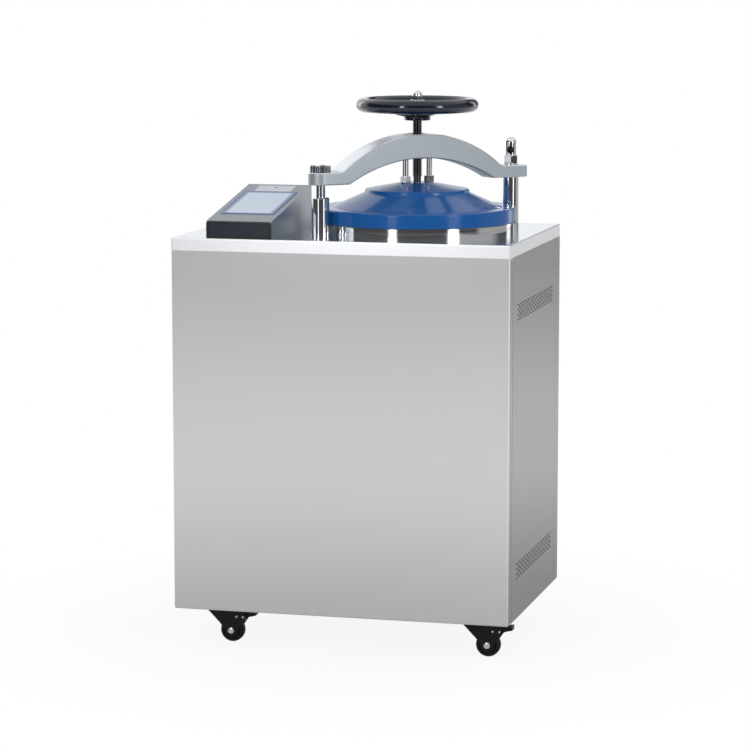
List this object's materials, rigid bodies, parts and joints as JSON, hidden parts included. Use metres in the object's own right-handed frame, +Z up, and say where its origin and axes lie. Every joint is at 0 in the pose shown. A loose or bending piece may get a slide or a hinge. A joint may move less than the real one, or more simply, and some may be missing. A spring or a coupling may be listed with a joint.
{
  "type": "vertical autoclave",
  "caption": "Top-loading steam steriliser: blue lid on a swinging arched beam with a handwheel screw, round chamber in a stainless cabinet on casters.",
  "frame": {"origin": "centre of the footprint at the floor, rear fittings included", "axes": "+Z up, the front panel faces -Y, the console is on the -X side"},
  "size_m": [0.7, 0.562, 1.1295],
  "materials": {
    "brushed_sheet": "vertical brushed stainless sheet",
    "polished_plate": "bright polished stainless plate",
    "frame_steel": "grey painted square tube",
    "vessel_steel": "satin pressure vessel steel",
    "polished_ring": "turned and polished stainless ring",
    "silicone": "white silicone rubber",
    "mineral_wool": "mineral wool blanket",
    "heater_sheath": "dark oxidised heater sheath",
    "basket_steel": "drilled stainless sheet and wire",
    "raw_steel": "dark primed steel",
    "bright_steel": "bright turned and plated steel",
    "console_metal": "satin metal console",
    "fascia_black": "glossy blue-black front",
    "bezel_blue": "blue-grey printed film round the screen",
    "screen_glass": "pale lit touch screen",
    "label_white": "pale plain film",
    "caster_black": "black coated pressed steel",
    "caster_tyre": "black hard rubber wheel",
    "zinc": "bright zinc plated steel",
    "valve_brass": "nickel-free brass",
    "pipe_steel": "stainless pipe",
    "gland_black": "black nylon",
    "rocker_red": "red rocker",
    "lever_red": "red coated lever",
    "cast_beam": "satin cast beam with polished edges",
    "bronze": "bronze",
    "blue_enamel": "glossy blue paint",
    "screw_steel": "oiled trapezoidal thread",
    "wheel_black": "glossy black moulded handwheel"
  },
  "bodies": {
    "cabinet": {"frame": "frame_steel", "base_plate": "brushed_sheet", "front_panel": "brushed_sheet", "left_panel": "brushed_sheet", "right_panel": "brushed_sheet", "rear_panel": "brushed_sheet", "top_plate": "polished_plate", "vessel": "vessel_steel", "vessel_flange": "polished_ring", "lid_gasket": "silicone", "insulation": "mineral_wool", "heating_elements": "heater_sheath", "basket_rack": "basket_steel", "lower_basket": "basket_steel", "upper_basket": "basket_steel", "closure_yoke": "raw_steel", "hinge_sleeve": "bright_steel", "latch_post": "bright_steel", "console_body": "console_metal", "console_front": "fascia_black", "screen_bezel": "bezel_blue", "touch_screen": "screen_glass", "console_strip": "label_white", "caster_plates": "caster_black", "drain_valve": "valve_brass", "drain_pipe": "pipe_steel", "safety_valve": "valve_brass", "steam_pipe": "pipe_steel", "mains_gland": "gland_black", "switch_frame": "gland_black"},
    "power_rocker": {"power_rocker": "rocker_red"},
    "drain_lever": {"drain_lever": "lever_red"},
    "tie_washer": {"latch_washer": "bright_steel"},
    "tie_nut": {"tie_nut": "bright_steel"},
    "arm": {"beam": "cast_beam", "hinge_shaft": "bright_steel", "hinge_bolts": "bright_steel", "lead_nut": "bronze"},
    "lid": {"lid": "blue_enamel", "guide_rods": "bright_steel", "guide_nuts": "bright_steel", "thrust_bearings": "bronze"},
    "screw": {"lead_screw": "screw_steel", "handwheel": "wheel_black", "wheel_washer": "bright_steel", "wheel_nut": "bright_steel"},
    "fork_front_left": {"fork_front_left": "caster_black", "axle_front_left": "zinc"},
    "wheel_front_left": {"wheel_front_left": "caster_tyre"},
    "fork_front_right": {"fork_front_right": "caster_black", "axle_front_right": "zinc"},
    "wheel_front_right": {"wheel_front_right": "caster_tyre"},
    "fork_rear_left": {"fork_rear_left": "caster_black", "axle_rear_left": "zinc"},
    "wheel_rear_left": {"wheel_rear_left": "caster_tyre"},
    "fork_rear_right": {"fork_rear_right": "caster_black", "axle_rear_right": "zinc"},
    "wheel_rear_right": {"wheel_rear_right": "caster_tyre"},
    "pedal_front_left": {"pedal_front_left": "caster_black"},
    "pedal_front_right": {"pedal_front_right": "caster_black"}
  },
  "joints": [
    {"name": "beam_swing", "type": "hinge", "parent": "cabinet", "child": "arm", "pos_m": [-0.06122, -0.19222, 0.945], "axis": [0, 0, -1], "range_deg": [0, 110]},
    {"name": "lid_lift", "type": "slide", "parent": "arm", "child": "lid", "axis": [0, 0, 1], "range_m": [0, 0.032]},
    {"name": "wheel_turn", "type": "hinge", "parent": "lid", "child": "screw", "pos_m": [0.1, -0.031, 1.069], "axis": [0, 0, 1], "range_deg": [0, 2880]},
    {"name": "tie_lift", "type": "slide", "parent": "cabinet", "child": "tie_washer", "axis": [0, 0, 1], "range_m": [0, 0.004]},
    {"name": "tie_turn", "type": "hinge", "parent": "tie_washer", "child": "tie_nut", "pos_m": [0.26122, 0.13022, 0.973], "axis": [0, 0, 1], "range_deg": [0, 720]},
    {"name": "drain_turn", "type": "hinge", "parent": "cabinet", "child": "drain_lever", "pos_m": [0.1, 0.237, 0.18], "axis": [0, 0, 1], "range_deg": [0, 90]},
    {"name": "power_tip", "type": "hinge", "parent": "cabinet", "child": "power_rocker", "pos_m": [-0.175, 0.219, 0.226], "axis": [1, 0, 0], "range_deg": [0, 14]},
    {"name": "swivel_front_left", "type": "hinge", "parent": "cabinet", "child": "fork_front_left", "pos_m": [-0.27, -0.219, 0.064], "axis": [0, 0, 1], "continuous": true},
    {"name": "roll_front_left", "type": "hinge", "parent": "fork_front_left", "child": "wheel_front_left", "pos_m": [-0.243, -0.219, 0.025], "axis": [0, 1, 0], "continuous": true},
    {"name": "swivel_front_right", "type": "hinge", "parent": "cabinet", "child": "fork_front_right", "pos_m": [0.27, -0.219, 0.064], "axis": [0, 0, 1], "continuous": true},
    {"name": "roll_front_right", "type": "hinge", "parent": "fork_front_right", "child": "wheel_front_right", "pos_m": [0.297, -0.219, 0.025], "axis": [0, 1, 0], "continuous": true},
    {"name": "swivel_rear_left", "type": "hinge", "parent": "cabinet", "child": "fork_rear_left", "pos_m": [-0.19, 0.157, 0.064], "axis": [0, 0, 1], "continuous": true},
    {"name": "roll_rear_left", "type": "hinge", "parent": "fork_rear_left", "child": "wheel_rear_left", "pos_m": [-0.163, 0.157, 0.025], "axis": [0, 1, 0], "continuous": true},
    {"name": "swivel_rear_right", "type": "hinge", "parent": "cabinet", "child": "fork_rear_right", "pos_m": [0.19, 0.157, 0.064], "axis": [0, 0, 1], "continuous": true},
    {"name": "roll_rear_right", "type": "hinge", "parent": "fork_rear_right", "child": "wheel_rear_right", "pos_m": [0.217, 0.157, 0.025], "axis": [0, 1, 0], "continuous": true},
    {"name": "brake_front_left", "type": "hinge", "parent": "fork_front_left", "child": "pedal_front_left", "pos_m": [-0.218, -0.219, 0.054], "axis": [0, 1, 0], "range_deg": [0, 20]},
    {"name": "brake_front_right", "type": "hinge", "parent": "fork_front_right", "child": "pedal_front_right", "pos_m": [0.322, -0.219, 0.054], "axis": [0, 1, 0], "range_deg": [0, 20]}
  ],
  "couplings": [
    {"joint": "wheel_turn", "follows": "lid_lift", "rad_per_m": 1570.8},
    {"joint": "tie_turn", "follows": "tie_lift", "rad_per_m": 3141.6}
  ]
}
